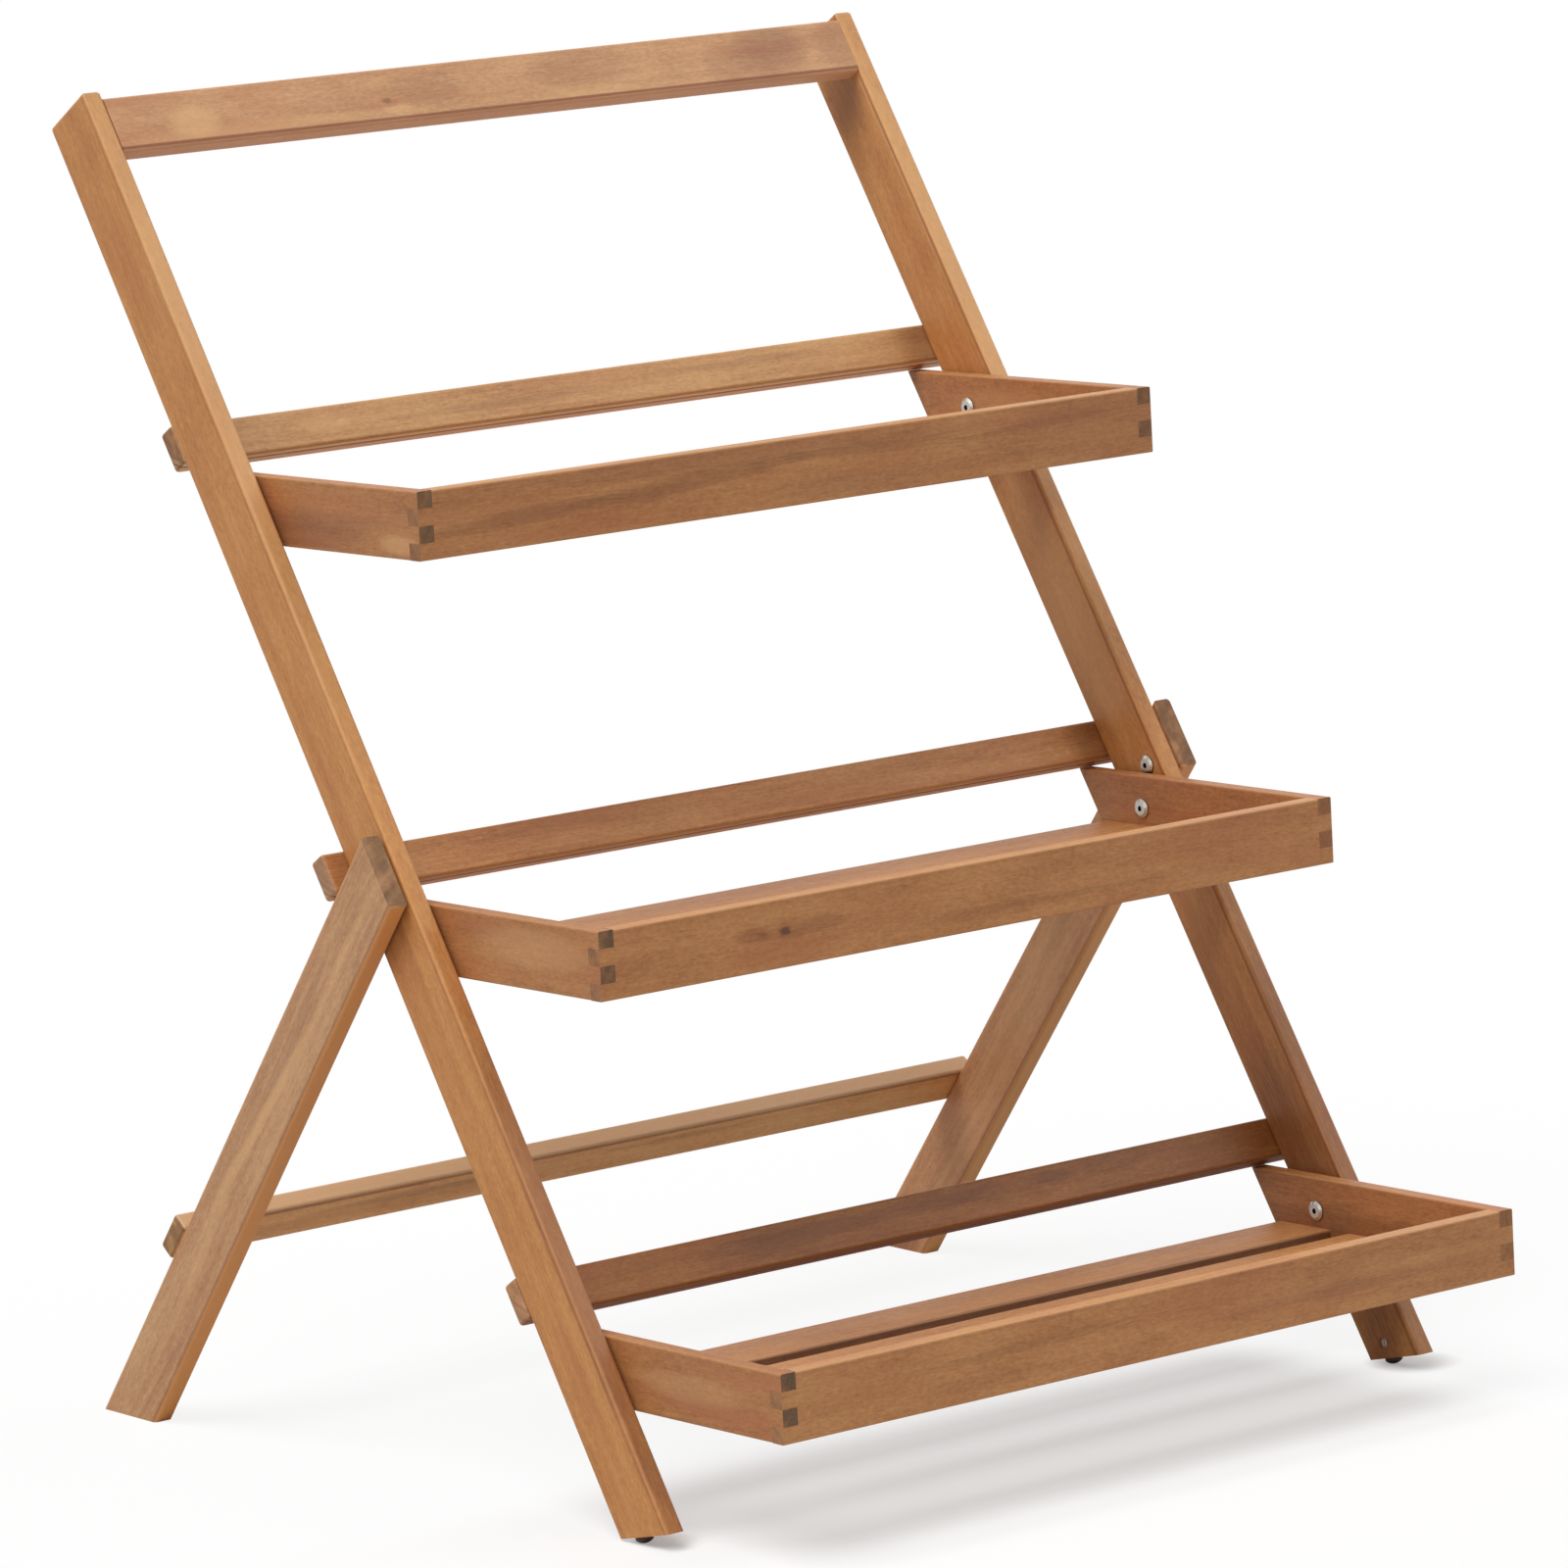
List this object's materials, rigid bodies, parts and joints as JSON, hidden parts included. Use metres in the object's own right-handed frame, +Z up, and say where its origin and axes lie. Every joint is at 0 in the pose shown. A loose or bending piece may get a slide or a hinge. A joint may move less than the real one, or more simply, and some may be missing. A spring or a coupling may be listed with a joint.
{
  "type": "folding garden shelf",
  "caption": "Folding wooden plant shelf: stiles lean back on propping legs and carry slatted trays, stepped like a ladder, that fold flat between them.",
  "frame": {"origin": "middle of the bounding box on the floor, under the open shelf", "axes": "+Z up, +X to the right seen from the front, +Y to the back; the trays face -Y"},
  "size_m": [0.763, 0.7874, 0.9961],
  "materials": {
    "frame_wood": "oiled honey-brown hardwood, satin",
    "leg_wood": "oiled honey-brown hardwood, satin",
    "rail_wood": "oiled honey-brown hardwood, satin",
    "tray_wood": "oiled caramel-brown hardwood with darker streaks, satin",
    "slat_wood": "oiled honey-brown hardwood, satin",
    "dowel_wood": "plain hardwood",
    "bolt_steel": "bright nickel plate",
    "screw_steel": "zinc plate",
    "insert_steel": "zinc plate",
    "spacer_nylon": "natural nylon",
    "foot_plastic": "black, matt"
  },
  "bodies": {
    "frame": {"stile_left": "frame_wood", "stile_right": "frame_wood", "top_rail": "rail_wood", "top_rail_dowels": "dowel_wood", "back_rail_top": "rail_wood", "back_rail_middle": "rail_wood", "back_rail_bottom": "rail_wood", "back_rail_screws": "screw_steel", "foot_glides": "foot_plastic", "foot_barrel_nuts": "insert_steel", "tray_pivot_bolts": "bolt_steel", "tray_threaded_inserts": "insert_steel", "tray_spacers": "spacer_nylon"},
    "leg_frame": {"leg_left": "leg_wood", "leg_right": "leg_wood", "leg_crossbar": "leg_wood", "crossbar_screws": "screw_steel", "leg_pivot_bolts": "bolt_steel", "leg_threaded_inserts": "insert_steel", "leg_spacers": "spacer_nylon"},
    "tray_top": {"tray_top_front": "tray_wood", "tray_top_side_left": "tray_wood", "tray_top_side_right": "tray_wood", "tray_top_slat_1": "slat_wood", "tray_top_slat_2": "slat_wood", "tray_top_slat_3": "slat_wood", "tray_top_slat_dowels": "dowel_wood"},
    "tray_middle": {"tray_middle_front": "tray_wood", "tray_middle_side_left": "tray_wood", "tray_middle_side_right": "tray_wood", "tray_middle_slat_1": "slat_wood", "tray_middle_slat_2": "slat_wood", "tray_middle_slat_3": "slat_wood", "tray_middle_slat_dowels": "dowel_wood"},
    "tray_bottom": {"tray_bottom_front": "tray_wood", "tray_bottom_side_left": "tray_wood", "tray_bottom_side_right": "tray_wood", "tray_bottom_slat_1": "slat_wood", "tray_bottom_slat_2": "slat_wood", "tray_bottom_slat_3": "slat_wood", "tray_bottom_slat_dowels": "dowel_wood"}
  },
  "joints": [
    {"name": "tray_bottom_fold", "type": "hinge", "parent": "frame", "child": "tray_bottom", "pos_m": [0, -0.19137, 0.11418], "axis": [-1, 0, 0], "range_deg": [0, 119.2]},
    {"name": "tray_middle_fold", "type": "hinge", "parent": "frame", "child": "tray_middle", "pos_m": [0, -0.00789, 0.4022], "axis": [-1, 0, 0], "range_deg": [0, 119.2]},
    {"name": "tray_top_fold", "type": "hinge", "parent": "frame", "child": "tray_top", "pos_m": [0, 0.18044, 0.69781], "axis": [-1, 0, 0], "range_deg": [0, 119.2]},
    {"name": "leg_fold", "type": "hinge", "parent": "frame", "child": "leg_frame", "pos_m": [0, 0.00403, 0.43208], "axis": [-1, 0, 0], "range_deg": [0, 68.8]}
  ]
}
